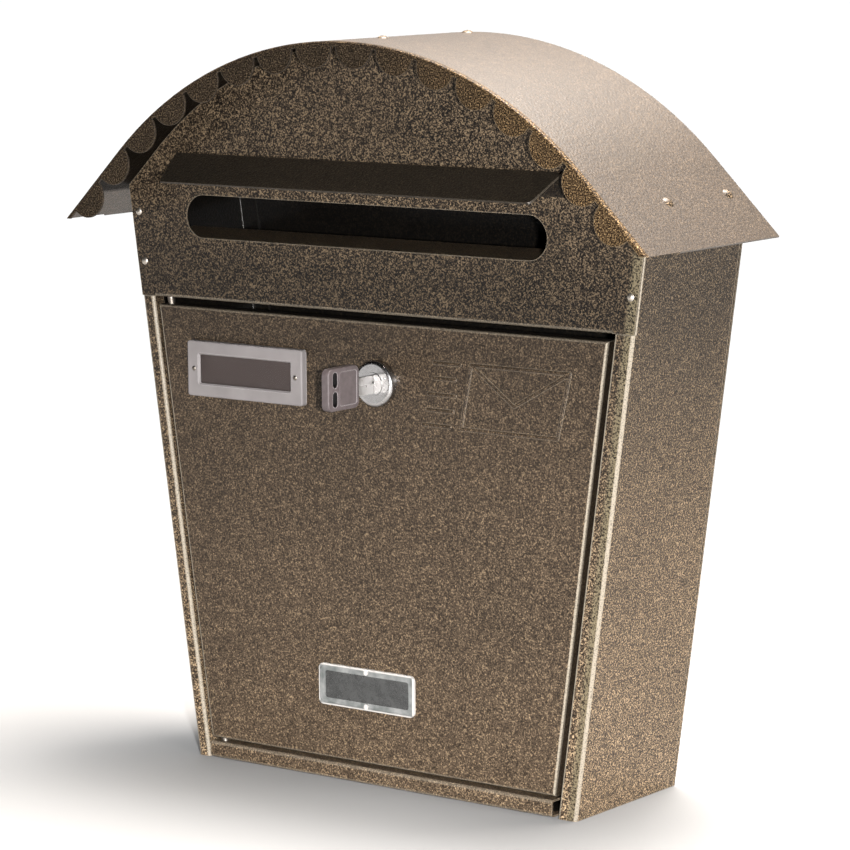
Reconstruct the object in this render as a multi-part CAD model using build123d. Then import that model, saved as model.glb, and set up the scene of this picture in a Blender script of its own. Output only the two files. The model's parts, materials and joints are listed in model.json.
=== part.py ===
from build123d import *
import os
from math import asin, cos, degrees, hypot, radians, sin

# Wall-mounted sheet-steel mailbox with an arched, scalloped roof.
# Millimetres. X runs to the viewer's right, Y into the wall, Z up.
# The origin is the centre of the four wall-screw holes, on the back's outer face.
# "height" below always means height above the casing's bottom edge.

# ---- driving dimensions -------------------------------------------------------
SHEET = 1.0                  # thickness of every steel sheet
BEND = 0.8                   # inner radius of a fold
DEPTH = 90.0                 # casing, wall to front face
BASE_HALF_WIDTH = 122.1      # casing half width at its bottom edge
TAPER = 0.13835              # half width gained per millimetre of height
SCREW_SPACING_X = 160.0
SCREW_SPACING_Z = 180.0
SCREW_HOLE_RADIUS = 3.0
SCREW_CENTRE_HEIGHT = 135.0  # height of the origin

ROOF_RADIUS = 206.0
ROOF_CENTRE_HEIGHT = 178.0
ROOF_ARC_HALF_ANGLE = 44.7   # degrees
ROOF_SKIRT = 53.0            # straight run after the arc, down to the eaves
ROOF_OVERHANG = 30.0         # in front of the casing
ROOF_GAP = 0.3               # roof to the panels under it
FRONT_BAND = 2.5             # strip folded down along the roof's front edge
FOLD_ROUND = 1.3             # outer rounding of that fold
TONGUES = 16
TONGUE_PITCH = 25.6
TONGUE_SHIFT = -2.0          # middle of the row, along the roof from its own middle
TONGUE_WIDTH = 22.6
TONGUE_LENGTH = 13.3

# Roof rivets: run from the roof's middle, and depth from the front face.
SLOPE_RIVET_RUN = 183.8
ROOF_RIVETS = [(-SLOPE_RIVET_RUN, 22.0), (-SLOPE_RIVET_RUN, 76.0), (0.0, 8.0),
               (0.0, 80.0), (SLOPE_RIVET_RUN, 22.0), (SLOPE_RIVET_RUN, 76.0)]
BLIND_RIVET_RADIUS = 1.6     # shanks of the roof's and the hood's rivets
SMALL_RIVET_RADIUS = 1.0     # shanks of the upper front panel's rivets
RIVET_PLAY = 0.05            # clearance all round a rivet's shank
FRONT_RIVET_HEIGHTS = (263.7, 289.8)
FRONT_RIVET_INSET = 4.5

FLANGE_LEFT = 7.5
FLANGE_RIGHT = 11.2
FLANGE_RETURN = 8.0
REAR_FLANGE = 12.0
UPPER_FLANGE = 8.0
BEND_RELIEF = 1.5            # notch between the door flange and the upper flange
DOORWAY_TOP = 245.4
SILL_TOP = 8.8
SILL_RIGHT_GAP = 3.4

SLOT_CENTRE = (-9.4, 289.2)
SLOT_LENGTH = 229.8
SLOT_HEIGHT = 22.4
LIP_DEPTH = 15.0

HOOD_CENTRE_X = -6.6
HOOD_REAR_WIDTH = 246.0
HOOD_FRONT_WIDTH = 234.5
HOOD_TOP = 323.4
HOOD_DROP = 14.0
HOOD_REACH = 22.0
HOOD_RIVET_OFFSETS = (-100.0, 0.0, 100.0)
HOOD_RIVET_HEIGHT = 314.5

GUIDE_HALF_WIDTH = 148.0     # letter guide behind the slot
GUIDE_SHELF = 32.0
GUIDE_APRON = (20.0, 23.0)

DOOR_GAP = 3.0
DOOR_BOTTOM = 11.0
DOOR_TOP = 241.4
DOOR_RETURN = 9.0
HINGE_INSET = 5.0            # pin axis from the door's left edge and from its face
PIN_RADIUS = 2.0
PIN_CLEARANCE = 0.08

ICON_RIDGE = 1.0             # radius of the icon's round ridges
ICON_SUNK = 0.35
ICON_ENVELOPE = [(53.0, 191.2), (111.4, 191.2), (119.0, 223.8), (59.6, 223.8)]
ICON_FLAP = (85.4, 205.0)
ICON_DASHES = [(36.6, 52.6, 223.4), (36.2, 49.6, 215.6), (33.0, 49.4, 207.4),
               (32.0, 48.0, 199.4), (29.4, 46.2, 191.6)]     # left, right, height

LOCK_CENTRE = (1.0, 210.3)
BEZEL_RADIUS = 12.0
BEZEL_PROUD = 4.5
BARREL_RADIUS = 9.4
BARREL_LENGTH = 16.0
PLUG_RADIUS = 6.0
PLUG_CLEARANCE = 0.06
PLUG_FACE = -4.9             # lock depths count from the door's face, into the box
PLUG_END = 16.3
CAM_THICKNESS = 2.5
CAM_LENGTH = 42.0
CAM_SQUARE = 7.0
KEYWAY_END = 13.5
BLADE_THICKNESS = 2.0
BLADE_HEIGHT = 7.4
WAFER_DEPTHS = (-1.0, 2.5, 6.0, 9.5)

KEY_TIP = 13.0
HEAD_START = -18.3
HEAD_END = -43.4
HEAD_RISE = 1.0              # the moulded head sits this much above the blade's axis
HEAD_HALF_HEIGHT = 10.8
HEAD_HALF_THICKNESS = 2.3
BOW_LENGTH = 14.0            # hidden part of the blade inside the head
BOW_HALF_HEIGHT = 8.0
EYELET = (4.0, 8.0)          # the two key-ring slots in the head

PLATE_CENTRE = (-83.8, 209.5)
PLATE_SIZE = (77.0, 29.2)
PLATE_PROUD = 4.0
PLATE_WINDOW = (61.0, 15.2)
PLATE_SCREW_OFFSET = 34.0

WINDOW_CENTRE = (-7.6, 50.4)
WINDOW_SIZE = (61.6, 21.8)
WINDOW_SIGHT = (54.0, 14.4)
WINDOW_CUTOUT = (57.0, 17.4)
WINDOW_NECK = (56.6, 17.0)
WINDOW_PROUD = 1.8
WINDOW_BEAD = 1.1            # width of the raised bead round the bezel's edge

# ---- derived ------------------------------------------------------------------
FRONT = -DEPTH
BASE = -SCREW_CENTRE_HEIGHT
LEAN = degrees(asin(TAPER / hypot(1, TAPER)))
ROOF_ARC = radians(ROOF_ARC_HALF_ANGLE)
ROOF_LENGTH = 2 * (ROOF_RADIUS * ROOF_ARC + ROOF_SKIRT)
HINGE_RUN = FLANGE_LEFT + DOOR_GAP + HINGE_INSET
SHOULDER = PLUG_FACE - 0.2   # where the key's blade widens, just clear of the plug


def half_width(height):
    """Casing half width at a height above its bottom edge."""
    return BASE_HALF_WIDTH + TAPER * height


def block(x, y, height):
    """Box from three (low, high) ranges; y counts from the front face."""
    size = [high - low for low, high in (x, y, height)]
    centre = (sum(x) / 2, FRONT + sum(y) / 2, BASE + sum(height) / 2)
    return Pos(*centre) * Box(*size)


def front_plane(depth=0.0):
    """Sketch plane facing the viewer: local X is X, local Y is height."""
    return Plane((0, FRONT + depth, BASE), x_dir=(1, 0, 0), z_dir=(0, -1, 0))


def slab(sketch, near, far):
    """A front-view sketch made solid between two depths from the front face."""
    return extrude(front_plane(far) * sketch, far - near)


def disc(centre, radius, near, far):
    """Short cylinder along Y at an (x, height) centre."""
    return slab(Pos(*centre) * Circle(radius), near, far)


def plate(centre, size, corner, near, far):
    """Rounded rectangle in front view, made solid between two depths."""
    return slab(Pos(*centre) * RectangleRounded(*size, corner), near, far)


def folded_section(points, inner_radius=BEND):
    """Closed outline of a folded sheet whose middle line runs through points."""
    count = len(points)
    steps = [Vector(*b) - Vector(*a) for a, b in zip(points, points[1:])]
    normals = [Vector(-step.Y, step.X).normalized() for step in steps]
    sides = []
    for side in (1, -1):
        outline = []
        radii = []
        for index, point in enumerate(points):
            before = normals[max(index - 1, 0)]
            after = normals[min(index, count - 2)]
            shift = (before + after) * (side * SHEET / 2 / (1 + before.dot(after)))
            outline.append(Vector(*point) + shift)
            if 0 < index < count - 1:
                turns_left = before.cross(after).Z > 0
                radii.append(inner_radius if turns_left == (side == 1) else inner_radius + SHEET)
        sides.append((outline, radii))
    left, right = (rounded_path(outline, radii) for outline, radii in sides)
    ends = [Line(sides[0][0][end], sides[1][0][end]) for end in (0, -1)]
    return make_face([*left.edges(), *right.edges(), *(end.edge() for end in ends)])


def rounded_path(outline, radii):
    """Polyline with one radius per inner corner."""
    if not radii:
        return Line(outline[0], outline[1])
    return FilletPolyline(*outline, radius=radii)


# ---- roof ---------------------------------------------------------------------
def roof_edge(inset):
    """Front-view half-space under the roof: closed outline set in by inset."""
    radius = ROOF_RADIUS - inset
    centre = (0, ROOF_CENTRE_HEIGHT)
    arc = CenterArc(centre, radius, 90 - ROOF_ARC_HALF_ANGLE, 2 * ROOF_ARC_HALF_ANGLE)
    right, left = arc @ 0, arc @ 1
    run = Vector(cos(ROOF_ARC), -sin(ROOF_ARC)) * ROOF_SKIRT
    tip_right = right + run
    tip_left = Vector(-tip_right.X, tip_right.Y)
    return arc, Line(left, tip_left), Line(right, tip_right), tip_left, tip_right


def roof_section():
    """Front view of the bent roof sheet."""
    outer, outer_left, outer_right, tip_left, tip_right = roof_edge(0)
    inner, inner_left, inner_right, end_left, end_right = roof_edge(SHEET)
    ends = [Line(tip_left, end_left), Line(tip_right, end_right)]
    return make_face([outer, outer_left, outer_right, inner, inner_left, inner_right, *ends])


def under_roof(depth_range, inset=SHEET + ROOF_GAP):
    """Everything under the roof's outer face set in by inset, for trimming to it."""
    arc, left, right, tip_left, tip_right = roof_edge(inset)
    floor_left = Vector(tip_left.X, -10)
    floor_right = Vector(tip_right.X, -10)
    sides = Polyline(tip_left, floor_left, floor_right, tip_right)
    return slab(make_face([arc, left, right, *sides.edges()]), *depth_range)


def roof_station(run):
    """Point on the roof's outer line and its outward angle, by run from the middle."""
    arc_run = ROOF_RADIUS * ROOF_ARC
    angle = max(-ROOF_ARC, min(ROOF_ARC, run / ROOF_RADIUS))
    past = run - angle * ROOF_RADIUS if abs(run) > arc_run else 0.0
    x = ROOF_RADIUS * sin(angle) + past * cos(angle)
    height = ROOF_CENTRE_HEIGHT + ROOF_RADIUS * cos(angle) - past * sin(angle)
    return x, height, angle


def tongue(index):
    """One round tongue hanging from the roof's front band."""
    run = TONGUE_SHIFT + (index + 0.5 - TONGUES / 2) * TONGUE_PITCH
    x, height, angle = roof_station(run)
    radius = TONGUE_WIDTH / 2
    root = TONGUE_LENGTH - radius
    lower_half = Pos(0, -TONGUE_LENGTH / 2) * Rectangle(TONGUE_WIDTH, TONGUE_LENGTH)
    round_end = (Pos(0, -root) * Circle(radius)) & lower_half
    shape = Pos(0, -root / 2) * Rectangle(TONGUE_WIDTH, root) + round_end
    placed = Pos(x, height) * Rot(0, 0, -degrees(angle)) * shape
    depths = (-ROOF_OVERHANG, SHEET - ROOF_OVERHANG)
    return slab(placed, *depths) & under_roof(depths, 0)


def front_band():
    """Strip folded down along the whole front edge, from which the tongues hang."""
    depths = (-ROOF_OVERHANG, SHEET - ROOF_OVERHANG)
    return under_roof(depths, 0) - under_roof((depths[0] - 1, depths[1] + 1), FRONT_BAND)


def front_rim(roof):
    """Outer edges of the roof's front face, between the eaves."""
    face = roof.faces().sort_by(Axis.Y)[0]
    return [edge for edge in face.edges() if on_outer_line(edge @ 0.5)]


def on_outer_line(point):
    """Whether a point on the front face lies on the roof's outer line."""
    height = point.Z - BASE
    skirt_normal = Vector(sin(ROOF_ARC), cos(ROOF_ARC))
    offset = Vector(abs(point.X), height - ROOF_CENTRE_HEIGHT)
    on_arc = abs(offset.length - ROOF_RADIUS) < 0.02
    on_skirt = abs(offset.dot(skirt_normal) - ROOF_RADIUS) < 0.02
    return on_arc or on_skirt


def make_roof():
    """Arched sheet with its row of tongues and the rivet holes."""
    roof = slab(roof_section(), -ROOF_OVERHANG, DEPTH)
    eaves = roof_station(ROOF_LENGTH / 2)[1]
    roof += front_band()
    for index in range(TONGUES):
        roof += tongue(index)
    roof -= block((-250, 250), (-60, 0), (-20, eaves))
    roof = fillet(front_rim(roof), FOLD_ROUND)
    for place in ROOF_RIVETS:
        roof -= rivet_hole(place)
    return roof


def rivet_frame(place):
    """Location of a roof rivet with its local Z pointing out of the roof."""
    x, height, angle = roof_station(place[0])
    return Pos(x, FRONT + place[1], BASE + height) * Rot(0, degrees(angle), 0)


def rivet_hole(place):
    """Clearance hole for one roof rivet."""
    return rivet_frame(place) * Cylinder(BLIND_RIVET_RADIUS + RIVET_PLAY, 12)


def blind_rivet(head_radius, head_height, shank_radius, grip, tail_radius, tail_length):
    """Domed blind rivet along Z, its head above Z = 0."""
    dome_radius = (head_radius**2 + head_height**2) / (2 * head_height)
    dome = Pos(0, 0, head_height - dome_radius) * Sphere(dome_radius)
    head = dome & Pos(0, 0, head_height / 2) * Cylinder(head_radius + 1, head_height)
    shank = Pos(0, 0, -grip / 2) * Cylinder(shank_radius, grip)
    tail = Pos(0, 0, -grip - tail_length / 2) * Cylinder(tail_radius, tail_length)
    return head + shank + fillet(tail.edges(), tail_length * 0.3)


def make_roof_rivets():
    """The six blind rivets that hold the roof to the panels' tabs."""
    grip = 2 * (SHEET + ROOF_GAP)
    rivet = blind_rivet(3.2, 1.3, BLIND_RIVET_RADIUS, grip, 2.3, 2.6)
    return Compound(children=[rivet_frame(place) * rivet for place in ROOF_RIVETS])


# ---- casing panels --------------------------------------------------------------
def side_channel(front_points):
    """Plan section of the right side panel, its outer face on local X = 0."""
    middle = SHEET / 2
    rear = DEPTH - 1.5 * SHEET
    points = [*front_points, (-middle, rear), (-REAR_FLANGE, rear)]
    return folded_section([Vector(*point) for point in points])


def stand_up(section, low, high):
    """Leaning extrusion of a plan section, cut level at two heights."""
    tall = Pos(0, 0, -30) * extrude(section, 420)
    leaning = Pos(BASE_HALF_WIDTH, FRONT, BASE) * Rot(0, LEAN, 0) * tall
    return leaning & block((0, 300), (-5, DEPTH + 5), (low, high))


def make_side_panel(flange):
    """Right-hand side panel with door flange, upper flange, rear and roof flanges."""
    middle = SHEET / 2
    door_edge = [(-flange + middle, FLANGE_RETURN), (-flange + middle, middle), (-middle, middle)]
    upper_edge = [(-UPPER_FLANGE, 1.5 * SHEET), (-middle, 1.5 * SHEET)]
    seam = DOORWAY_TOP - 0.2
    panel = stand_up(side_channel(door_edge), 0, seam)
    panel += stand_up(side_channel(upper_edge), seam, 360) & under_roof((-1, DEPTH))
    panel += roof_flange()
    relief_x = half_width(seam) - SHEET - BEND / 2
    panel -= block((relief_x - 20, relief_x), (-1, FLANGE_RETURN - 1), (seam, seam + BEND_RELIEF))
    small_hole = SMALL_RIVET_RADIUS + RIVET_PLAY
    for height in FRONT_RIVET_HEIGHTS:
        panel -= disc((half_width(height) - FRONT_RIVET_INSET, height), small_hole, -2, 6)
    for place in ROOF_RIVETS:
        panel -= rivet_hole(place)
    return panel


def roof_flange():
    """Inner flange of a side panel, parallel to the roof's straight skirt."""
    cover = under_roof((5, DEPTH - 5))
    hollow = Pos(0, 0, -SHEET / cos(ROOF_ARC)) * under_roof((0, DEPTH))
    strip = cover - hollow
    inner_x = half_width(300) - REAR_FLANGE
    return strip & block((inner_x, inner_x + 30), (0, DEPTH), (285, 340)) & casing_wedge(SHEET / 2)


def casing_wedge(inset=0.0):
    """Everything between the casing's two leaning side faces, set in by inset."""
    top = 400
    low, high = half_width(0) - inset, half_width(top) - inset
    outline = Polyline((-low, 0), (low, 0), (high, top), (-high, top), close=True)
    return slab(make_face(outline), -5, DEPTH + 5)


def apex_tab(near, far):
    """Small tab under the roof's ridge that takes a rivet."""
    top = ROOF_CENTRE_HEIGHT + ROOF_RADIUS - SHEET - ROOF_GAP
    tab = block((-10, 10), (near, far), (top - 0.3 - SHEET, top))
    tab &= under_roof((near - 1, far + 1))
    for place in ROOF_RIVETS:
        tab -= rivet_hole(place)
    return tab


def hinge_frame(height):
    """Location on the hinge axis at a height, its local Z up along the axis."""
    x = -(half_width(height) - HINGE_RUN)
    return Pos(x, FRONT + HINGE_INSET, BASE + height) * Rot(0, -LEAN, 0)


def hinge_hole(height, radius):
    """Hole along the hinge axis through a level sheet near a height."""
    return hinge_frame(height) * Cylinder(radius, 6)


def make_front_panel():
    """Upper front panel: letter slot, door lip and ridge tab."""
    panel = casing_wedge() & under_roof((0, SHEET))
    panel &= block((-250, 250), (0, SHEET), (DOORWAY_TOP, 400))
    lip_left = -(half_width(DOORWAY_TOP) - UPPER_FLANGE - 1)
    lip_right = half_width(DOORWAY_TOP) - FLANGE_RIGHT - 1
    lip_section = folded_section([Vector(LIP_DEPTH, 0.5), Vector(0.5, 0.5), Vector(0.5, 8)])
    lip = extrude_across(lip_section, lip_left, lip_right, DOORWAY_TOP)
    panel -= block((lip_left, lip_right), (-1, 2), (DOORWAY_TOP - 1, DOORWAY_TOP + 4))
    panel += lip
    panel += apex_tab(0, 15)
    panel -= slab(Pos(*SLOT_CENTRE) * SlotOverall(SLOT_LENGTH, SLOT_HEIGHT), -2, 3)
    small_hole = SMALL_RIVET_RADIUS + RIVET_PLAY
    for height in FRONT_RIVET_HEIGHTS:
        for side in (-1, 1):
            panel -= disc((side * (half_width(height) - FRONT_RIVET_INSET), height), small_hole, -2, 3)
    for offset in HOOD_RIVET_OFFSETS:
        centre = (HOOD_CENTRE_X + offset, HOOD_RIVET_HEIGHT)
        panel -= disc(centre, BLIND_RIVET_RADIUS + RIVET_PLAY, -2, 3)
    return panel - hinge_hole(DOORWAY_TOP, PIN_RADIUS + 0.02)


def extrude_across(section, left, right, height=0.0):
    """Extrude a side-view section (depth, height) along X between two limits."""
    plane = Plane((right, FRONT, BASE + height), x_dir=(0, 1, 0), z_dir=(1, 0, 0))
    return extrude(plane * section, -(right - left))


def make_front_rivets():
    """Four small rivets at the upper panel's side edges."""
    rivet = blind_rivet(2.0, 0.8, SMALL_RIVET_RADIUS, 2 * SHEET, 1.6, 1.2)
    solids = []
    for height in FRONT_RIVET_HEIGHTS:
        for side in (-1, 1):
            x = side * (half_width(height) - FRONT_RIVET_INSET)
            solids.append(Pos(x, FRONT, BASE + height) * Rot(90, 0, 0) * rivet)
    return Compound(children=solids)


def make_hood():
    """Rain hood over the slot, with a hidden flange against the panel."""
    middle = SHEET / 2
    section = folded_section([Vector(-middle, HOOD_TOP - 13.5), Vector(-middle, HOOD_TOP - 1.1),
                              Vector(-HOOD_REACH, HOOD_TOP - HOOD_DROP - 1.1)], 0.3)
    half = HOOD_REAR_WIDTH / 2
    strip = extrude_across(section, HOOD_CENTRE_X - half, HOOD_CENTRE_X + half)
    front_half = HOOD_FRONT_WIDTH / 2
    corner_y = -HOOD_REACH - 0.6
    plan = make_face(Polyline((-half, 0), (-front_half, corner_y), (front_half, corner_y),
                              (half, 0), close=True))
    front_corners = plan.vertices().sort_by(Axis.Y)[:2]
    plan = fillet(front_corners, 4)
    trim = Pos(HOOD_CENTRE_X, FRONT, BASE + HOOD_TOP - 60) * extrude(plan, 80)
    hood = strip & trim
    for offset in HOOD_RIVET_OFFSETS:
        centre = (HOOD_CENTRE_X + offset, HOOD_RIVET_HEIGHT)
        hood -= disc(centre, BLIND_RIVET_RADIUS + RIVET_PLAY, -3, 3)
    return hood


def make_hood_rivets():
    """Three blind rivets through the hood's flange and the upper panel."""
    rivet = blind_rivet(2.8, 1.0, BLIND_RIVET_RADIUS, 2 * SHEET, 2.3, 2.0)
    row = Pos(HOOD_CENTRE_X, FRONT - SHEET, BASE + HOOD_RIVET_HEIGHT)
    return Compound(children=[
        row * Pos(offset, 0, 0) * Rot(90, 0, 0) * rivet for offset in HOOD_RIVET_OFFSETS])


def make_letter_guide():
    """Shelf and apron inside the slot that tip a letter down into the box."""
    top = SLOT_CENTRE[1] - SLOT_HEIGHT / 2 - SHEET / 2
    depth = 1.5 * SHEET
    shelf_end = (depth + GUIDE_SHELF, top + 2.2)
    points = [(depth, top - 15), (depth, top), shelf_end,
              (shelf_end[0] + GUIDE_APRON[0], shelf_end[1] - GUIDE_APRON[1])]
    section = folded_section([Vector(*point) for point in points])
    return extrude_across(section, -GUIDE_HALF_WIDTH, GUIDE_HALF_WIDTH)


def make_bottom_panel():
    """Floor with its up-turned sill, sill return and rear flange."""
    middle = SHEET / 2
    rear = DEPTH - 2.5 * SHEET
    points = [(14, SILL_TOP - middle), (middle, SILL_TOP - middle), (middle, middle),
              (rear, middle), (rear, 12)]
    section = folded_section([Vector(*point) for point in points])
    left = -(half_width(0) - FLANGE_LEFT) + 0.9
    right = half_width(0) - FLANGE_RIGHT - SILL_RIGHT_GAP
    floor = extrude_across(section, left, right)
    wing = half_width(0) - SHEET - 0.4
    floor += block((-wing, wing), (FLANGE_RETURN + 2, rear - 3), (0, SHEET))
    return floor - hinge_hole(SILL_TOP, PIN_RADIUS + 0.02)


def make_back_panel():
    """Flat back that follows the roof, with the four wall-screw holes."""
    panel = casing_wedge() & under_roof((DEPTH - SHEET, DEPTH))
    panel &= block((-250, 250), (0, DEPTH), (0, 400))
    panel += apex_tab(DEPTH - 17, DEPTH - SHEET / 2)
    for side_x in (-1, 1):
        for side_z in (-1, 1):
            height = SCREW_CENTRE_HEIGHT + side_z * SCREW_SPACING_Z / 2
            centre = (side_x * SCREW_SPACING_X / 2, height)
            panel -= disc(centre, SCREW_HOLE_RADIUS, DEPTH - 3, DEPTH + 3)
    return panel


def make_hinge_pin(height, away):
    """Headed pin on the hinge axis; away is 1 with its head up, -1 down."""
    shank = Pos(0, 0, -away * 5.2) * Cylinder(PIN_RADIUS, 14.4)
    head = Pos(0, 0, away * 2.55) * Cylinder(3.4, 1.3)
    head = fillet(head.edges(), 0.4)
    return hinge_frame(height) * (shank + head)


# ---- door -----------------------------------------------------------------------
def door_outline(inset):
    """Front view of the door, set in all round by inset."""
    low = DOOR_BOTTOM + inset
    high = DOOR_TOP - inset
    left = FLANGE_LEFT + DOOR_GAP + inset
    right = FLANGE_RIGHT + DOOR_GAP + inset
    return make_face(Polyline(
        (-half_width(low) + left, low), (half_width(low) - right, low),
        (half_width(high) - right, high), (-half_width(high) + left, high), close=True))


def door_tray():
    """Door skin with its four returns."""
    outer = slab(door_outline(0), 0, DOOR_RETURN)
    outer = fillet(outer.faces().sort_by(Axis.Y)[0].edges(), 1.6)
    inner = slab(door_outline(SHEET), SHEET, DOOR_RETURN + 2)
    inner = fillet(inner.faces().sort_by(Axis.Y)[0].edges(), 0.6)
    return outer - inner


def ridge(start, end):
    """Round-ended half-sunk ridge on the door's face between two points."""
    a, b = (Vector(x, FRONT + ICON_SUNK, BASE + height) for x, height in (start, end))
    path = Line(a, b)
    bar = sweep(Plane(a, z_dir=b - a) * Circle(ICON_RIDGE), path=path)
    return bar + Pos(*a) * Sphere(ICON_RIDGE) + Pos(*b) * Sphere(ICON_RIDGE)


def icon():
    """Plain slanted envelope with motion dashes."""
    corners = ICON_ENVELOPE
    lines = list(zip(corners, corners[1:] + corners[:1]))
    lines += [(corners[3], ICON_FLAP), (ICON_FLAP, corners[2])]
    lines += [((left, height), (right, height)) for left, right, height in ICON_DASHES]
    return [ridge(start, end) for start, end in lines]


def barrel_section(radius, flat):
    """Round lock barrel with two flats that stop it turning."""
    return Circle(radius) & Rectangle(4 * radius, 2 * flat)


def make_door_panel():
    """Door skin with icon, lock hole, window cut-out and hinge holes."""
    panel = door_tray()
    for line in icon():
        panel += line
    panel -= slab(Pos(*LOCK_CENTRE) * barrel_section(BARREL_RADIUS + 0.15, 8.55), -2, 3)
    panel -= plate(WINDOW_CENTRE, WINDOW_CUTOUT, 2.0, -2, 3)
    for side in (-1, 1):
        panel -= disc((PLATE_CENTRE[0] + side * PLATE_SCREW_OFFSET, PLATE_CENTRE[1]), 0.85, -2, 3)
    running = PIN_RADIUS + PIN_CLEARANCE
    return panel - hinge_hole(DOOR_TOP, running) - hinge_hole(DOOR_BOTTOM, running)


def make_plate_frame():
    """Name-plate frame with its rebate and screw holes."""
    frame = plate(PLATE_CENTRE, PLATE_SIZE, 1.6, -PLATE_PROUD, 0)
    frame = fillet(frame.faces().sort_by(Axis.Y)[0].edges(), 0.9)
    opening = plate(PLATE_CENTRE, PLATE_WINDOW, 0.8, -PLATE_PROUD - 1, 1)
    frame -= opening
    rim = frame.faces().sort_by(Axis.Y)[0].inner_wires()[0].edges()
    frame = chamfer(rim, 0.8)
    wide, tall = PLATE_WINDOW
    frame -= plate(PLATE_CENTRE, (wide + 3.4, tall + 3.4), 0.8, -2.6, 1)
    for side in (-1, 1):
        frame -= disc((PLATE_CENTRE[0] + side * PLATE_SCREW_OFFSET, PLATE_CENTRE[1]), 0.85, -6, 1)
    return frame


def plate_insert(near, far):
    """Flat piece that fills the name-plate rebate between two depths."""
    wide, tall = PLATE_WINDOW
    return plate(PLATE_CENTRE, (wide + 3.2, tall + 3.2), 0.7, near, far)


def make_plate_screws():
    """Two small headed pins that hold the name-plate to the door."""
    pin = blind_rivet(1.3, 0.6, 0.8, PLATE_PROUD + SHEET, 1.4, 1.2)
    middle = Pos(PLATE_CENTRE[0], FRONT - PLATE_PROUD, BASE + PLATE_CENTRE[1])
    return Compound(children=[
        middle * Pos(side * PLATE_SCREW_OFFSET, 0, 0) * Rot(90, 0, 0) * pin for side in (-1, 1)])


def make_window_bezel():
    """Window bezel: beaded rim on the door, two nubs, and a neck through the cut-out."""
    wide, tall = WINDOW_SIZE
    bezel = plate(WINDOW_CENTRE, WINDOW_SIZE, 3.0, -WINDOW_PROUD, 0)
    bezel = fillet(bezel.faces().sort_by(Axis.Y)[0].edges(), 0.5)
    inner_size = (wide - 2 * WINDOW_BEAD, tall - 2 * WINDOW_BEAD)
    bezel -= plate(WINDOW_CENTRE, inner_size, 2.0, -4, 0.8 - WINDOW_PROUD)
    for side in (-1, 1):
        nub = (WINDOW_CENTRE[0], WINDOW_CENTRE[1] + side * (tall / 2 - 2.1))
        bezel += disc(nub, 1.2, 0.1 - WINDOW_PROUD, -0.7)
    bezel += plate(WINDOW_CENTRE, WINDOW_NECK, 1.8, 0, 3.2)
    bezel -= plate(WINDOW_CENTRE, WINDOW_SIGHT, 1.4, -4, 5)
    return bezel - plate(WINDOW_CENTRE, (55.2, 15.6), 1.4, -0.6, 5)


def make_window_pane():
    """Clear pane in the bezel's rebate."""
    return plate(WINDOW_CENTRE, (55.0, 15.4), 1.3, -0.6, 1.0)


def make_window_retainer():
    """Push-on frame that clamps the bezel from behind the door."""
    ring = plate(WINDOW_CENTRE, WINDOW_SIZE, 2.4, SHEET, 2.6)
    return ring - plate(WINDOW_CENTRE, (WINDOW_NECK[0] + 0.2, WINDOW_NECK[1] + 0.2), 1.9, 0, 4)


# ---- lock -----------------------------------------------------------------------
def make_lock_housing():
    """Chromed bezel and flat-sided barrel with the plug's bore."""
    bezel = disc(LOCK_CENTRE, BEZEL_RADIUS, -BEZEL_PROUD, 0)
    bezel = fillet(bezel.faces().sort_by(Axis.Y)[0].edges(), 2.0)
    barrel = slab(Pos(*LOCK_CENTRE) * barrel_section(BARREL_RADIUS, 8.4), 0, BARREL_LENGTH)
    return bezel + barrel - disc(LOCK_CENTRE, PLUG_RADIUS + PLUG_CLEARANCE, -8, BARREL_LENGTH + 2)


def make_lock_nut():
    """Hexagon nut on the barrel behind the door."""
    ring = slab(Pos(*LOCK_CENTRE) * RegularPolygon(13.6, 6), SHEET, SHEET + 3.5)
    return ring - slab(Pos(*LOCK_CENTRE) * Circle(BARREL_RADIUS + 0.1), 0, 8)


def wafer_slices(clearance):
    """Thin discs across the plug, trimmed to the wafers' width."""
    slices = []
    for depth in WAFER_DEPTHS:
        section = Circle(5.6 + clearance) & Rectangle(7.0 + 2 * clearance, 20)
        slices.append(slab(Pos(*LOCK_CENTRE) * section, depth - clearance, depth + 0.9 + clearance))
    return slices


def make_lock_plug():
    """Turning plug with keyway, wafer chambers, square tail and screw hole."""
    plug = disc(LOCK_CENTRE, PLUG_RADIUS, PLUG_FACE, PLUG_END)
    square = Pos(*LOCK_CENTRE) * Rectangle(CAM_SQUARE, CAM_SQUARE)
    plug += slab(square, PLUG_END, PLUG_END + CAM_THICKNESS)
    keyway = Rectangle(BLADE_THICKNESS + 0.3, BLADE_HEIGHT + 0.4)
    plug -= slab(Pos(*LOCK_CENTRE) * keyway, PLUG_FACE - 1, KEYWAY_END)
    for chamber in wafer_slices(0.06):
        plug -= chamber
    return plug - disc(LOCK_CENTRE, 2.05, KEYWAY_END + 0.6, PLUG_END + CAM_THICKNESS + 1)


def make_lock_wafers():
    """Brass wafers in the plug, each with a window for the key."""
    opening = Pos(*LOCK_CENTRE) * Rectangle(BLADE_THICKNESS + 0.5, BLADE_HEIGHT + 0.8)
    window = slab(opening, -9, 14)
    return Compound(children=[wafer - window for wafer in wafer_slices(0)])


def make_lock_cam():
    """Cam arm; it points right when unlocked and up when locked."""
    reach = Pos(CAM_LENGTH / 2 - 5, 0) * Rectangle(CAM_LENGTH - 10, 15)
    arm = Circle(9.5) + reach + Pos(CAM_LENGTH - 10, 0) * (Circle(7.5) & Rectangle(20, 15))
    arm -= Rectangle(CAM_SQUARE + 0.1, CAM_SQUARE + 0.1)
    return slab(Pos(*LOCK_CENTRE) * arm, PLUG_END, PLUG_END + CAM_THICKNESS)


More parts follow.
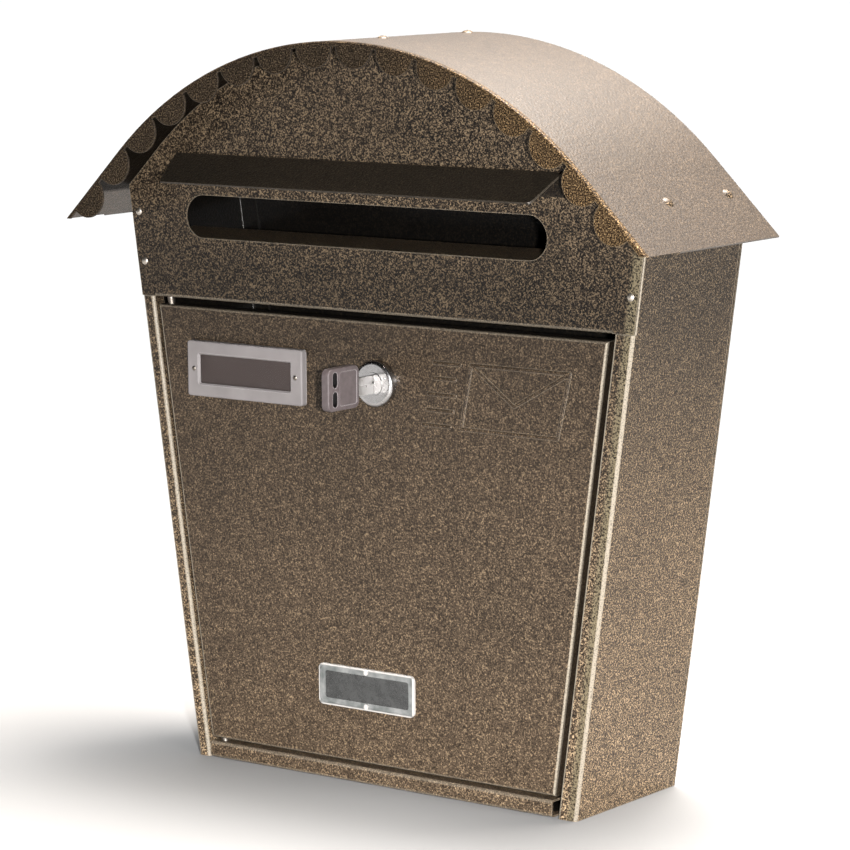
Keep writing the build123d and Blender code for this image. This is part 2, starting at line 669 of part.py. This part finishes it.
def make_cam_washer():
    """Washer between the cam and its screw."""
    ring = Circle(6.5) - Circle(2.1)
    start = PLUG_END + CAM_THICKNESS
    return slab(Pos(*LOCK_CENTRE) * ring, start, start + 0.8)


def make_cam_screw():
    """Pan-head screw with a cross recess."""
    start = PLUG_END + CAM_THICKNESS + 0.8
    head = disc(LOCK_CENTRE, 3.8, start, start + 2.6)
    head = fillet(head.faces().sort_by(Axis.Y)[-1].edges(), 0.9)
    shank = disc(LOCK_CENTRE, 2.0, KEYWAY_END + 0.9, start)
    cross = Rectangle(4, 0.9) + Rectangle(0.9, 4)
    return head + shank - slab(Pos(*LOCK_CENTRE) * cross, start + 1.3, start + 4)


# ---- key ------------------------------------------------------------------------
def key_slab(depth, height, thickness):
    """Box on the lock's axis from depth and height ranges and a thickness."""
    x, z = LOCK_CENTRE
    return block((x - thickness / 2, x + thickness / 2), depth, (z + height[0], z + height[1]))


def make_key_blade():
    """Flat steel blade with shoulder, side groove, bitting and hidden bow."""
    half = BLADE_HEIGHT / 2
    blade = key_slab((SHOULDER, KEY_TIP), (-half, half), BLADE_THICKNESS)
    blade += key_slab((HEAD_START, SHOULDER), (-4.6, 4.6), BLADE_THICKNESS)
    bow_height = (HEAD_RISE - BOW_HALF_HEIGHT, HEAD_RISE + BOW_HALF_HEIGHT)
    blade += key_slab((HEAD_START - BOW_LENGTH, HEAD_START), bow_height, BLADE_THICKNESS)
    x, z = LOCK_CENTRE
    for index, depth in enumerate(WAFER_DEPTHS):
        notch = 1.8 + (index % 3)
        corner = Pos(x, FRONT + depth + 0.5, BASE + z - half) * Rot(45, 0, 0)
        blade -= corner * Box(6, notch, notch)
    groove = Pos(BLADE_THICKNESS / 2, 0, 0) * key_slab((HEAD_START + 1, KEY_TIP + 1), (0.4, 1.8), 0.9)
    point = Pos(x, FRONT + KEY_TIP, BASE + z + half) * Rot(45, 0, 0) * Box(6, 3, 3)
    return blade - groove - point


def make_key_head():
    """Moulded head around the bow, with recessed faces and two key-ring slots."""
    x, z = LOCK_CENTRE
    length = HEAD_START - HEAD_END
    middle = (x, FRONT + (HEAD_START + HEAD_END) / 2, BASE + z + HEAD_RISE)
    profile = Plane(middle, x_dir=(0, 1, 0), z_dir=(1, 0, 0))
    outer = RectangleRounded(length, 2 * HEAD_HALF_HEIGHT, 3.5)
    head = extrude(profile * outer, HEAD_HALF_THICKNESS, both=True)
    head = fillet(head.edges().filter_by(lambda edge: edge.bounding_box().size.X < 0.01), 0.7)
    panel = Pos(3.6, 0) * RectangleRounded(length - 11.2, 2 * HEAD_HALF_HEIGHT - 4.4, 1.5)
    for side in (-1, 1):
        face = profile.offset(side * (HEAD_HALF_THICKNESS - 0.35))
        head -= extrude(face * panel, side * 2)
        eyelet = Pos(5.5 - length / 2, side * 4.9) * RectangleRounded(*EYELET, 1.9)
        head -= extrude(profile * eyelet, 6, both=True)
    reach = BOW_HALF_HEIGHT + 0.1
    pocket = key_slab((HEAD_START - BOW_LENGTH - 0.1, HEAD_START),
                      (HEAD_RISE - reach, HEAD_RISE + reach), BLADE_THICKNESS + 0.1)
    return head - pocket


# ---- write one STEP per piece -----------------------------------------------------
def make_nodes():
    """Every named piece of the mailbox."""
    left_side = mirror(make_side_panel(FLANGE_LEFT), Plane.YZ)
    return {
        "back_panel": make_back_panel(),
        "left_side_panel": left_side,
        "right_side_panel": make_side_panel(FLANGE_RIGHT),
        "bottom_panel": make_bottom_panel(),
        "upper_front_panel": make_front_panel(),
        "front_rivets": make_front_rivets(),
        "slot_hood": make_hood(),
        "hood_rivets": make_hood_rivets(),
        "letter_guide": make_letter_guide(),
        "roof": make_roof(),
        "roof_rivets": make_roof_rivets(),
        "hinge_pin_top": make_hinge_pin(DOORWAY_TOP, 1),
        "hinge_pin_bottom": make_hinge_pin(SILL_TOP - SHEET, -1),
        "door_panel": make_door_panel(),
        "nameplate_frame": make_plate_frame(),
        "nameplate_window": plate_insert(-2.6, -1.6),
        "name_card": plate_insert(-1.6, -1.2),
        "nameplate_screws": make_plate_screws(),
        "window_bezel": make_window_bezel(),
        "window_pane": make_window_pane(),
        "window_retainer": make_window_retainer(),
        "lock_housing": make_lock_housing(),
        "lock_nut": make_lock_nut(),
        "lock_plug": make_lock_plug(),
        "lock_wafers": make_lock_wafers(),
        "lock_cam": make_lock_cam(),
        "cam_washer": make_cam_washer(),
        "cam_screw": make_cam_screw(),
        "key_blade": make_key_blade(),
        "key_head": make_key_head(),
    }


os.makedirs("parts", exist_ok=True)
for name, shape in make_nodes().items():
    export_step(shape, f"parts/{name}.step")
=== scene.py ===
import json
import math

import bmesh
import bpy
from mathutils import Matrix, Vector


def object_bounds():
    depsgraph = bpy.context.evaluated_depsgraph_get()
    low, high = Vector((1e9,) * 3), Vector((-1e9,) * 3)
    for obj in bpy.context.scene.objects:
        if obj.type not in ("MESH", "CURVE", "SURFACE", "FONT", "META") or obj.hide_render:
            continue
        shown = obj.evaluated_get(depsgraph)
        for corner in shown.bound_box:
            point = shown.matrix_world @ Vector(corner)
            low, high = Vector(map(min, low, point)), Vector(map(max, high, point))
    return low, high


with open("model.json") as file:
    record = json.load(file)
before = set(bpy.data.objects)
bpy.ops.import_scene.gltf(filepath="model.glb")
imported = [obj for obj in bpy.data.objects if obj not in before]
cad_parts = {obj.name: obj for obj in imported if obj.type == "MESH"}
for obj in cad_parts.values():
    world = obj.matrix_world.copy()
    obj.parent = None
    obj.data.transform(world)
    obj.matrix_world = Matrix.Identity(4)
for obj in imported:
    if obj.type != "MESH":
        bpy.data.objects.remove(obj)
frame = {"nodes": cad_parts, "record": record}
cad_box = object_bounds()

MM = 0.001

# ---- camera, light and floor, in metres and degrees ---------------------------
CAMERA_PLACE = (1.1062, -1.5268, 0.3291)
CAMERA_YAW, CAMERA_PITCH, CAMERA_ROLL = 36.82, 8.64, -0.43
CAMERA_LENS = 153.0
SENSOR_WIDTH = 36.0
CLIP_START, CLIP_END = 0.05, 100.0

# The surroundings as light: strength in front, behind and overhead, and between which
# two values of a direction's coordinate each region fades in.
WORLD_FRONT, WORLD_BACK, WORLD_TOP = 0.01, 0.5, 40.0
TOP_FADE_Z = (0.90, 0.96)
TOP_FADE_Y = (0.0, 0.12)
TOP_FADE_X = (0.12, 0.0)
BACK_FADE_Y = (0.05, 0.55)

WHITE = (1.0, 1.0, 1.0)
WARM = (1.0, 0.93, 0.86)
# Name, place, aim, size, watts, spread, colour.
LIGHTS = [
    ("flash", (1.04, -1.31, 0.29), (0.0, -0.09, -0.16), (0.03, 0.03), 6.2, 46, WHITE),
    ("top", (0.10, 0.10, 0.90), (0.0, -0.04, 0.10), (0.6, 0.6), 21.0, 95, WARM),
    ("low_front", (0.15, -0.80, -0.09), (0.0, -0.09, -0.12), (0.5, 0.08), 0.3, 120, WHITE),
    ("low_right", (0.70, -0.02, -0.09), (0.13, -0.03, -0.12), (0.08, 0.5), 2.4, 120, WHITE),
]

FLOOR_HALF = 20.0
FLOOR_DROP = 0.0002
FLOOR_FADE = (260, 1300)         # mm from the origin
FLOOR_TONES = (0.20, 0.92)

# ---- the mailbox, in mm in the frame, for paint and painted light and shade that differ over it ---
TAPER = 0.13835
CASING_HALF_WIDTH = 140.8        # at the level of the wall screws
BACK_FACE = -0.6
FRONT_FACE = -90.0
DOORWAY_TOP = 110.4
FLANGE_END = -81.5               # the doorway's flanges lie in front of this
ROOF_AXIS = 43.0
ROOF_RADIUS = 206.0
# Heights of the edge of the painted shadow on the roof's underside.
UNDER_SHADOW = (165.0, 167.0)      # heights over which the roof's underside goes dark
TONGUES_END, TONGUES_START = -116.6, -117.8
# Half widths of the front's right-hand border, which gets a painted highlight.
BORDER = (134.0, 137.0)          # half widths between which the gold border starts
BEZEL_CENTRE = (-7.6, -84.6)
BEZEL_HALF = (30.8, 10.9)
BEAD = (1.1, 0.5)
NUB_HALF_WIDTH, NUB_FRONT = 1.4, -91.2
KEY_CENTRE = (1.0, -120.85, 76.3)
KEY_HALF = (12.55, 10.8)
KEY_RIM = 1.2
KEY_SLOT_DEPTH = 1.9

# ---- paint --------------------------------------------------------------------
GRAIN = 1.35                     # grains per mm
DIMPLES = 0.75                   # dimples per mm
DIMPLE_DEPTH = 0.16 * MM
FLECKS = [(0.37, (0.005, 0.003, 0.001)), (0.45, (0.026, 0.017, 0.010)),
          (0.54, (0.078, 0.054, 0.034)), (0.64, (0.300, 0.215, 0.130))]
# Colour of the painted highlight on the front's right-hand border.
BORDER_HIGHLIGHT = (0.120, 0.098, 0.060)
# Colours of the painted highlights on edges and on bends.
EDGE_HIGHLIGHT = (0.160, 0.135, 0.100)
BEND_HIGHLIGHT = (0.200, 0.170, 0.130)
# Colour of the painted highlight on the tongues' rims.
TONGUE_RIM_HIGHLIGHT = (0.060, 0.050, 0.040)
# Painted sheen on the tongues at the right.
TONGUE_SHEEN = (2.1, 1.9, 1.5)    # times the paint's colour, at the right
# How dark the painted shade within the casing is.
INSIDE_SHADE = 0.05


# ---- stage --------------------------------------------------------------------
def make_camera():
    data = bpy.data.cameras.new("camera")
    data.lens = CAMERA_LENS
    data.sensor_width = SENSOR_WIDTH
    data.clip_start = CLIP_START
    data.clip_end = CLIP_END
    camera = bpy.data.objects.new("camera", data)
    bpy.context.scene.collection.objects.link(camera)
    turn = (Matrix.Rotation(math.radians(CAMERA_YAW), 4, "Z")
            @ Matrix.Rotation(math.radians(90 - CAMERA_PITCH), 4, "X")
            @ Matrix.Rotation(math.radians(CAMERA_ROLL), 4, "Z"))
    camera.matrix_world = Matrix.Translation(CAMERA_PLACE) @ turn
    bpy.context.scene.camera = camera


def make_area_light(name, place, aim, size, power, spread, colour):
    data = bpy.data.lights.new(name, "AREA")
    data.shape = "RECTANGLE"
    data.size, data.size_y = size
    data.energy = power
    data.color = colour
    data.spread = math.radians(spread)
    light = bpy.data.objects.new(name, data)
    bpy.context.scene.collection.objects.link(light)
    light.location = place
    light.rotation_euler = (Vector(aim) - Vector(place)).to_track_quat("-Z", "Y").to_euler()


def make_world():
    """White to the camera. As light: bright overhead at the left, dim behind, near black in front."""
    world = bpy.data.worlds.new("studio")
    bpy.context.scene.world = world
    world.use_nodes = True
    nodes, links = world.node_tree.nodes, world.node_tree.links
    nodes.clear()

    def fade(value, between, to_low=0.0, to_high=1.0):
        node = nodes.new("ShaderNodeMapRange")
        node.interpolation_type = "SMOOTHSTEP"
        node.inputs["From Min"].default_value, node.inputs["From Max"].default_value = between
        node.inputs["To Min"].default_value = to_low
        node.inputs["To Max"].default_value = to_high
        links.new(value, node.inputs["Value"])
        return node.outputs["Result"]

    def combine(operation, a, b):
        node = nodes.new("ShaderNodeMath")
        node.operation = operation
        links.new(a, node.inputs[0])
        links.new(b, node.inputs[1])
        return node.outputs[0]

    coords = nodes.new("ShaderNodeTexCoord")
    split = nodes.new("ShaderNodeSeparateXYZ")
    links.new(coords.outputs["Generated"], split.inputs[0])
    x, y, z = (split.outputs[axis] for axis in "XYZ")
    above = combine("MULTIPLY", fade(z, TOP_FADE_Z), fade(y, TOP_FADE_Y))
    above = combine("MULTIPLY", above, fade(x, TOP_FADE_X))
    overhead = fade(above, (0.0, 1.0), WORLD_FRONT, WORLD_TOP)
    behind = fade(y, BACK_FADE_Y, 0.0, WORLD_BACK)
    lit = nodes.new("ShaderNodeBackground")
    links.new(combine("MAXIMUM", overhead, behind), lit.inputs["Strength"])
    seen = nodes.new("ShaderNodeBackground")
    seen.inputs["Color"].default_value = (*WHITE, 1)
    path = nodes.new("ShaderNodeLightPath")
    mix = nodes.new("ShaderNodeMixShader")
    links.new(path.outputs["Is Camera Ray"], mix.inputs[0])
    links.new(lit.outputs[0], mix.inputs[1])
    links.new(seen.outputs[0], mix.inputs[2])
    out = nodes.new("ShaderNodeOutputWorld")
    links.new(mix.outputs[0], out.inputs["Surface"])


def make_floor():
    bm = bmesh.new()
    bmesh.ops.create_grid(bm, x_segments=8, y_segments=8, size=FLOOR_HALF)
    mesh = bpy.data.meshes.new("floor")
    bm.to_mesh(mesh)
    bm.free()
    floor = bpy.data.objects.new("floor", mesh)
    bpy.context.scene.collection.objects.link(floor)
    floor.location = (0, 0, cad_box[0].z - FLOOR_DROP)
    floor.data.materials.append(floor_paint())


# ---- materials ----------------------------------------------------------------
class Shader:
    """A material's node tree, with short calls for adding and joining nodes."""

    def __init__(self, name):
        self.material = bpy.data.materials.new(name)
        self.material.use_nodes = True
        self.tree = self.material.node_tree
        self.tree.nodes.clear()
        self.out = self.tree.nodes.new("ShaderNodeOutputMaterial")
        self.principled = self.add("ShaderNodeBsdfPrincipled")
        self.join(self.principled.outputs[0], self.out.inputs["Surface"])
        coords = self.add("ShaderNodeTexCoord")
        self.where = self.scaled(coords.outputs["Object"], 1 / MM)

    def add(self, kind, **settings):
        node = self.tree.nodes.new(kind)
        for key, value in settings.items():
            setattr(node, key, value)
        return node

    def join(self, source, target):
        self.tree.links.new(source, target)

    def put(self, socket, value):
        """Join a socket to another one, or set its value."""
        if isinstance(value, bpy.types.NodeSocket):
            self.join(value, socket)
        elif hasattr(value, "__len__") and len(value) == 3 and socket.type == "RGBA":
            socket.default_value = (*value, 1)
        else:
            socket.default_value = value

    def base(self, **values):
        """Set or join the surface's sockets by name."""
        for key, value in values.items():
            self.put(self.principled.inputs[key.replace("_", " ")], value)

    # Numbers.
    def math(self, operation, a, b=0.0):
        node = self.add("ShaderNodeMath", operation=operation)
        self.put(node.inputs[0], a)
        self.put(node.inputs[1], b)
        return node.outputs[0]

    def times(self, a, b):
        return self.math("MULTIPLY", a, b)

    def plus(self, a, b):
        return self.math("ADD", a, b)

    def minus(self, a, b):
        return self.math("SUBTRACT", a, b)

    def size(self, a):
        return self.math("ABSOLUTE", a)

    def less(self, a, b):
        return self.math("LESS_THAN", a, b)

    def more(self, a, b):
        return self.math("GREATER_THAN", a, b)

    def remap(self, value, low, high, to_low=0.0, to_high=1.0, smooth=False):
        node = self.add("ShaderNodeMapRange")
        node.interpolation_type = "SMOOTHSTEP" if smooth else "LINEAR"
        self.put(node.inputs["Value"], value)
        node.inputs["From Min"].default_value = low
        node.inputs["From Max"].default_value = high
        node.inputs["To Min"].default_value = to_low
        node.inputs["To Max"].default_value = to_high
        return node.outputs["Result"]

    def split(self, vector):
        node = self.add("ShaderNodeSeparateXYZ")
        self.join(vector, node.inputs[0])
        return [node.outputs[axis] for axis in "XYZ"]

    # Patterns, with their scale per mm.
    def noise(self, scale, detail=2.0, roughness=0.5):
        node = self.add("ShaderNodeTexNoise")
        self.join(self.where, node.inputs["Vector"])
        node.inputs["Scale"].default_value = scale
        node.inputs["Detail"].default_value = detail
        node.inputs["Roughness"].default_value = roughness
        return node.outputs["Fac"]

    def cells(self, scale, smoothness):
        node = self.add("ShaderNodeTexVoronoi", feature="SMOOTH_F1")
        self.join(self.where, node.inputs["Vector"])
        node.inputs["Scale"].default_value = scale
        node.inputs["Smoothness"].default_value = smoothness
        return node.outputs["Distance"]

    # Colours.
    def ramp(self, value, stops):
        node = self.add("ShaderNodeValToRGB")
        elements = node.color_ramp.elements
        while len(elements) < len(stops):
            elements.new(0.5)
        for element, (place, colour) in zip(elements, stops):
            element.position = place
            element.color = (*colour, 1)
        self.put(node.inputs[0], value)
        return node.outputs["Color"]

    def mix(self, factor, a, b, blend="MIX"):
        node = self.add("ShaderNodeMix", data_type="RGBA", blend_type=blend)
        self.put(node.inputs["Factor"], factor)
        self.put(node.inputs[6], a)
        self.put(node.inputs[7], b)
        return node.outputs[2]

    def scaled(self, vector, factor):
        """A colour or vector times a number."""
        node = self.add("ShaderNodeVectorMath", operation="SCALE")
        self.put(node.inputs[0], vector)
        self.put(node.inputs["Scale"], factor)
        return node.outputs[0]

    # Shape.
    def edge(self, radius):
        """1 on edges and tight bends, falling to 0 at about radius mm from them."""
        bevel = self.add("ShaderNodeBevel", samples=6)
        bevel.inputs["Radius"].default_value = radius * MM
        shape = self.add("ShaderNodeNewGeometry")
        dot = self.add("ShaderNodeVectorMath", operation="DOT_PRODUCT")
        self.join(bevel.outputs["Normal"], dot.inputs[0])
        self.join(shape.outputs["Normal"], dot.inputs[1])
        return self.remap(dot.outputs["Value"], 0.97, 0.80)

    def bends(self):
        """1 on vertical folds between front and side, less on level ones, 0 on flat sheet."""
        normal = self.split(self.add("ShaderNodeNewGeometry").outputs["Normal"])
        x, y, z = (self.size(part) for part in normal)
        upright = self.remap(self.times(x, y), 0.06, 0.22)
        level = self.remap(self.times(y, z), 0.06, 0.30, 0.0, 0.35)
        return self.math("MAXIMUM", upright, level)

    def inside(self):
        """1 within the casing, 0 outside it and on the doorway's flanges."""
        x, y, z = self.split(self.where)
        lean = self.minus(self.size(x), self.times(z, TAPER))
        between = self.less(lean, CASING_HALF_WIDTH - 0.8)
        level = self.minus(z, ROOF_AXIS)
        reach = self.math("SQRT", self.plus(self.times(x, x), self.times(level, level)))
        below = self.less(reach, ROOF_RADIUS - 0.6)
        behind_panel = self.times(self.more(z, DOORWAY_TOP + 1.5), self.more(y, FRONT_FACE + 0.6))
        deep = self.math("MAXIMUM", self.more(y, FLANGE_END), behind_panel)
        ahead = self.less(y, BACK_FACE)
        return self.times(self.times(between, below), self.times(deep, ahead))

    def bump(self, height, distance, strength):
        node = self.add("ShaderNodeBump")
        self.put(node.inputs["Height"], height)
        node.inputs["Distance"].default_value = distance
        node.inputs["Strength"].default_value = strength
        return node.outputs["Normal"]

    # The mailbox's paint.
    def grain(self):
        return self.noise(GRAIN, 2.0, 0.6)

    def flecked(self, grain, contrast):
        """Near black to gold, following the grain."""
        return self.ramp(self.plus(0.5, self.times(self.minus(grain, 0.5), contrast)), FLECKS)

    def patches(self):
        """Slow changes of tone over the sheet, with finer mottling."""
        slow = self.remap(self.noise(0.012, 3.0, 0.5), 0.3, 0.7, 0.90, 1.10)
        return self.times(slow, self.remap(self.noise(0.22, 2.0, 0.5), 0.3, 0.7, 0.85, 1.15))

    def skin(self, colour, grain, coat, gloss):
        """Hammered paint skin over a colour."""
        dimples = self.plus(self.cells(DIMPLES, 0.6), self.times(grain, 0.8))
        self.base(Base_Color=colour, Metallic=0.1, Specular_IOR_Level=gloss,
                  Roughness=self.remap(self.noise(2.1, 1.0), 0.35, 0.65, 0.40, 0.60),
                  Normal=self.bump(dimples, DIMPLE_DEPTH, 0.8),
                  Coat_Weight=coat, Coat_Roughness=0.22)


def floor_paint():
    """Plain pale studio floor, paler away from the mailbox so that it reads even."""
    s = Shader("floor_paint")
    reach = s.add("ShaderNodeVectorMath", operation="LENGTH")
    s.join(s.where, reach.inputs[0])
    tone = s.remap(reach.outputs["Value"], *FLOOR_FADE, *FLOOR_TONES, smooth=True)
    s.base(Base_Color=s.plus(tone, s.times(s.noise(0.004, 3.0), 0.01)), Roughness=0.9)
    return s.material


def hammertone(name="hammertone", bends=1.0, contrast=1.0, fade=(1.16, 0.40), painted_light_above=1.0,
               inside_shade=INSIDE_SHADE, back_shade=1.0, highlight_behind=-200.0):
    """Dark bronze paint with a hammered skin and gold flecks, with painted highlights on bends and
    edges.

    fade is its tone at the casing's bottom and at the doorway's top, painted shade that darkens it
    upwards, and painted_light_above is the painted light it gains above that. Painted highlights lie
    behind the depth highlight_behind; back_shade is painted shade on a sheet's back, and inside_shade
    painted shade within the casing.
    """
    s = Shader(name)
    x, y, z = s.split(s.where)
    grain = s.grain()
    # Painted light and shade: lighter low down, darker towards the doorway's top, lighter again near
    # the roof.
    tone = s.times(s.remap(z, -120, 120, *fade), s.remap(z, 130, 175, 1.0, painted_light_above))
    colour = s.scaled(s.flecked(grain, contrast), s.times(tone, s.patches()))

    # The front's right-hand border: a painted gold highlight, standing in for the light on the
    # corner's bend.
    border = s.remap(s.minus(x, s.times(z, TAPER)), *BORDER)
    border = s.times(border, s.less(y, FRONT_FACE + 0.5))
    colour = s.mix(s.times(border, s.remap(grain, 0.40, 0.56)), colour, BORDER_HIGHLIGHT)

    # Painted highlights on edges and on the bends between front and side, only behind a given depth.
    pale = s.more(y, highlight_behind)
    colour = s.mix(s.times(s.times(s.edge(1.1), 0.7 * bends), pale), colour, EDGE_HIGHLIGHT)
    bend = s.times(s.bends(), s.remap(grain, 0.40, 0.50, 0.55 * bends, bends))
    colour = s.mix(s.times(bend, pale), colour, BEND_HIGHLIGHT)

    # Painted shade within the casing.
    colour = s.scaled(colour, s.remap(s.inside(), 0.0, 1.0, 1.0, inside_shade))
    # Painted shade on what lies behind the front face, such as the returns in the door's gap.
    colour = s.scaled(colour, s.remap(y, FRONT_FACE + 0.3, FRONT_FACE + 0.7, 1.0, back_shade))
    s.skin(colour, grain, coat=0.10, gloss=0.16)
    return s.material


def roof_paint():
    """The same paint on the roof: glossy on top, gold on the tongues as a painted sheen at the right,
    and a painted shadow under the overhang.
    """
    s = Shader("roof_paint")
    x, y, z = s.split(s.where)
    grain = s.grain()
    front = s.remap(y, TONGUES_END, TONGUES_START)
    colour = s.flecked(grain, s.remap(front, 0, 1, 0.40, 0.95))
    colour = s.scaled(colour, s.times(s.remap(front, 0, 1, 0.50, 0.30), s.patches()))
    # Painted highlight on the tongues' rims.
    colour = s.mix(s.times(front, s.edge(0.8)), colour, TONGUE_RIM_HIGHLIGHT)
    # Painted sheen: the tongues grow brighter and more golden towards the right.
    gold = s.times(front, s.remap(x, 20, 110))
    colour = s.mix(gold, colour, s.mix(1.0, colour, TONGUE_SHEEN, "MULTIPLY"))

    # The underside is where the surface faces the roof's axis.
    across, _, up = s.split(s.add("ShaderNodeNewGeometry").outputs["Normal"])
    outward = s.plus(s.times(across, x), s.times(up, s.minus(z, ROOF_AXIS)))
    # Painted shadow on the underside above those heights, away from the tongues.
    under = s.times(s.less(outward, -1.0), s.remap(z, *UNDER_SHADOW))
    under = s.times(under, s.minus(1.0, front))
    colour = s.scaled(colour, s.remap(under, 0, 1, 1.0, 0.12))
    # Painted shade within the casing.
    colour = s.scaled(colour, s.remap(s.inside(), 0.0, 1.0, 1.0, INSIDE_SHADE))
    dull = s.math("MAXIMUM", front, under)
    s.skin(colour, grain, coat=s.remap(dull, 0, 1, 0.4, 0.03), gloss=s.remap(dull, 0, 1, 0.36, 0.06))
    return s.material


def window_bezel():
    """Grey smoky plastic, with a painted highlight on its bead and nubs."""
    s = Shader("window_bezel")
    x, y, z = s.split(s.where)
    across = s.size(s.minus(x, BEZEL_CENTRE[0]))
    up = s.size(s.minus(z, BEZEL_CENTRE[1]))
    margin = s.math("MINIMUM", s.minus(BEZEL_HALF[0], across), s.minus(BEZEL_HALF[1], up))
    nub = s.times(s.less(across, NUB_HALF_WIDTH), s.less(y, NUB_FRONT))
    bead = s.math("MAXIMUM", s.remap(margin, *BEAD), nub)
    smoke = s.noise(0.12, 3.0, 0.6)
    body = s.ramp(smoke, [(0.35, (0.07, 0.075, 0.072)), (0.65, (0.16, 0.16, 0.155))])
    # Painted highlight on the bead and nubs.
    s.base(Base_Color=s.mix(bead, body, (0.34, 0.32, 0.30)), Specular_IOR_Level=0.3,
           Roughness=s.remap(smoke, 0.3, 0.7, 0.3, 0.5),
           Normal=s.bump(s.noise(1.5, 2.0), 0.02 * MM, 0.4))
    return s.material


def satin_metal(name, colour, roughness, grain=0.6, metallic=1.0, gloss=0.5, rim_highlight=None):
    """Plated or bare metal with fine scuffs, slight tone changes and, with rim_highlight, a painted
    highlight on its edges.
    """
    s = Shader(name)
    scuff = s.noise(grain, 4.0, 0.6)
    dark = tuple(0.86 * part for part in colour)
    paint = s.ramp(s.noise(0.08, 2.0), [(0.3, dark), (0.7, colour)])
    # Painted highlight on the edges.
    if rim_highlight:
        paint = s.mix(s.times(s.edge(0.9), 0.9), paint, rim_highlight)
    s.base(Base_Color=paint, Metallic=metallic, Specular_IOR_Level=gloss,
           Roughness=s.remap(scuff, 0.3, 0.7, roughness * 0.8, roughness * 1.3),
           Normal=s.bump(scuff, 0.02 * MM, 0.4))
    return s.material


def key_plastic():
    """Moulded key head: dark, with a painted highlight on its edges and painted shade, near black, in
    the two slots.
    """
    s = Shader("dark_plastic")
    x, y, z = s.split(s.where)
    fine = s.noise(2.5, 2.0, 0.6)
    colour = s.ramp(s.noise(0.3, 3.0), [(0.3, (0.050, 0.040, 0.040)), (0.7, (0.070, 0.057, 0.057))])
    # Painted highlight on the edges.
    colour = s.mix(s.times(s.edge(1.0), 0.8), colour, (0.22, 0.20, 0.20))
    # Painted shade in the two slots.
    halves = (KEY_SLOT_DEPTH, KEY_HALF[0] - KEY_RIM, KEY_HALF[1] - KEY_RIM)
    deep = 1.0
    for value, middle, half in zip((x, y, z), KEY_CENTRE, halves):
        deep = s.times(deep, s.less(s.size(s.minus(value, middle)), half))
    s.base(Base_Color=s.scaled(colour, s.remap(deep, 0, 1, 1.0, 0.05)), Specular_IOR_Level=0.25,
           Roughness=s.remap(fine, 0.3, 0.7, 0.36, 0.48), Normal=s.bump(fine, 0.03 * MM, 0.5))
    return s.material


def clear_plastic(name, colour, alpha, roughness):
    """Thin clear sheet with a light haze of scuffs."""
    s = Shader(name)
    haze = s.noise(0.5, 4.0, 0.6)
    scratch = s.noise(0.12, 5.0, 0.7)
    s.base(Base_Color=colour, Alpha=s.remap(scratch, 0.35, 0.65, alpha * 0.75, alpha * 1.25),
           Roughness=s.remap(haze, 0.3, 0.7, roughness * 0.6, roughness * 1.5),
           Specular_IOR_Level=0.15, Normal=s.bump(haze, 0.01 * MM, 0.3))
    return s.material


def card():
    """Blank coated card with a faint fibre."""
    s = Shader("card")
    fibre = s.noise(1.6, 4.0, 0.7)
    colour = s.ramp(fibre, [(0.3, (0.030, 0.022, 0.020)), (0.7, (0.050, 0.038, 0.035))])
    s.base(Base_Color=colour, Roughness=0.7, Specular_IOR_Level=0.1,
           Normal=s.bump(fibre, 0.03 * MM, 0.4))
    return s.material


def dress(node, material):
    """Give a CAD node its one material."""
    mesh = frame["nodes"][node].data
    mesh.materials.clear()
    mesh.materials.append(material)


def paint_all():
    """Paint every node by its slot, then the nodes whose paint differs from their slot's."""
    finishes = {
        "hammertone": hammertone(),
        "rivet_steel": satin_metal("rivet_steel", (0.42, 0.38, 0.33), 0.38),
        "plate_metal": satin_metal("plate_metal", (0.150, 0.137, 0.135), 0.5, grain=1.2,
                                   metallic=0.0, gloss=0.15, rim_highlight=(0.36, 0.34, 0.335)),
        "clear_plastic": clear_plastic("clear_plastic", (0.05, 0.05, 0.05), 0.10, 0.08),
        "card": card(),
        "bezel_plastic": window_bezel(),
        "dark_plastic": key_plastic(),
        "chrome": satin_metal("chrome", (0.42, 0.41, 0.405), 0.22),
        "zinc_steel": satin_metal("zinc_steel", (0.34, 0.34, 0.35), 0.36),
        "brass": satin_metal("brass", (0.48, 0.37, 0.18), 0.34),
        "nickel": satin_metal("nickel", (0.38, 0.37, 0.36), 0.32),
    }
    for row in frame["record"]["subparts"]:
        dress(row["node"], finishes[row["material_slot"]])
    # The hood: painted shade, a near black copy of the paint with faint painted highlights.
    dress("slot_hood", hammertone("hood_shaded_paint", bends=0.15, contrast=0.6, fade=(0.13, 0.13)))
    # The letter guide is left out of the painted shade within the casing and has a flat tone of 0.5.
    dress("letter_guide", hammertone("guide_paint", contrast=1.3, fade=(0.5, 0.5), inside_shade=1.0))
    # The sill: a lighter copy of the paint, painted light, with less contrast.
    dress("bottom_panel", hammertone("sill_paint", contrast=0.6, fade=(0.95, 0.95)))
    # The door: painted shade darker towards its top, painted shade on its back and in its gap, and no
    # painted highlights on the icon's ridges in front of it.
    dress("door_panel", hammertone("door_paint", contrast=0.55, fade=(0.86, 0.42), back_shade=0.35,
                                   highlight_behind=-90.1))
    # The upper front panel: a dark copy of the paint, painted shade, with painted light near the
    # roof.
    dress("upper_front_panel", hammertone("upper_paint", contrast=1.25, fade=(0.25, 0.25), painted_light_above=1.75))
    dress("roof", roof_paint())
    plain = hammertone("rivet_paint", bends=0.0, fade=(0.6, 0.6))
    for node in ("roof_rivets", "hood_rivets"):
        dress(node, plain)
    # Darker steel: painted shade on the hinge pins in the door's gap, also used for the nameplate's
    # screws.
    shaded_steel = satin_metal("shaded_steel", (0.16, 0.14, 0.12), 0.45)
    for node in ("hinge_pin_top", "hinge_pin_bottom", "nameplate_screws"):
        dress(node, shaded_steel)
    dress("window_pane", clear_plastic("scuffed_pane", (0.040, 0.040, 0.039), 0.85, 0.3))


make_camera()
make_world()
make_floor()
for settings in LIGHTS:
    make_area_light(*settings)
paint_all()
bpy.context.scene.view_settings.view_transform = "Standard"
